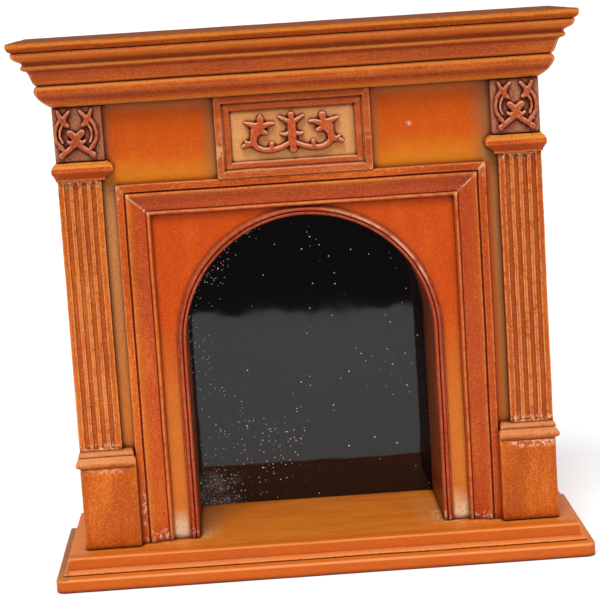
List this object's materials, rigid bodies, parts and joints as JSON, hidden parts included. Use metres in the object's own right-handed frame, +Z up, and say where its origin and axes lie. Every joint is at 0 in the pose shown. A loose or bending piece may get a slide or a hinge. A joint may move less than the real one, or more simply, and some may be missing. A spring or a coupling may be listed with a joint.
{
  "type": "miniature fireplace mantel",
  "caption": "Dolls' house fireplace mantel with an arched, black-backed fire opening, fluted pilasters, carved corner blocks and frieze tablet, stepped cornice shelf and stepped hearth.",
  "frame": {"origin": "on the ground under the middle of the hearth, halfway between its front edge and the back plane", "axes": "+X to the viewer's right, front faces -Y, +Z up"},
  "size_m": [0.1062, 0.038, 0.104],
  "materials": {
    "stained_wood": "satin lacquer over orange-brown stain",
    "hearth_wood": "satin lacquer, horizontal grain",
    "panel_wood": "satin lacquer over saturated orange stain",
    "carcass_wood": "thin stain, unpolished",
    "reveal_wood": "dark stain, satin",
    "carved_wood": "satin, brown-pink stain with rubbed highlights",
    "tablet_wood": "satin, tan ground with red-brown relief",
    "black_sheet": "glossy black"
  },
  "bodies": {
    "root": {"arch_liner": "reveal_wood", "architrave_head": "stained_wood", "architrave_left": "stained_wood", "architrave_right": "stained_wood", "back_board": "carcass_wood", "base_moulding_left": "stained_wood", "base_moulding_right": "stained_wood", "bead_crown": "stained_wood", "bead_filler": "stained_wood", "bead_left": "stained_wood", "bead_right": "stained_wood", "bed_moulding_front": "stained_wood", "bed_moulding_return_left": "stained_wood", "bed_moulding_return_right": "stained_wood", "capital_moulding_left": "stained_wood", "capital_moulding_right": "stained_wood", "corner_block_left": "carved_wood", "corner_block_right": "carved_wood", "corner_carving_left": "carved_wood", "corner_carving_right": "carved_wood", "crown_moulding_front": "stained_wood", "crown_moulding_return_left": "stained_wood", "crown_moulding_return_right": "stained_wood", "firebox_pane": "black_sheet", "fluted_shaft_left": "stained_wood", "fluted_shaft_right": "stained_wood", "front_board": "panel_wood", "hearth_base_board": "hearth_wood", "hearth_top_board": "hearth_wood", "mantel_shelf": "stained_wood", "plinth_block_left": "stained_wood", "plinth_block_right": "stained_wood", "side_board_left": "carcass_wood", "side_board_right": "carcass_wood", "tablet_backing": "tablet_wood", "tablet_carving": "tablet_wood", "tablet_rail_bottom": "stained_wood", "tablet_rail_top": "stained_wood", "tablet_stile_left": "stained_wood", "tablet_stile_right": "stained_wood", "top_board": "carcass_wood"}
  },
  "joints": []
}
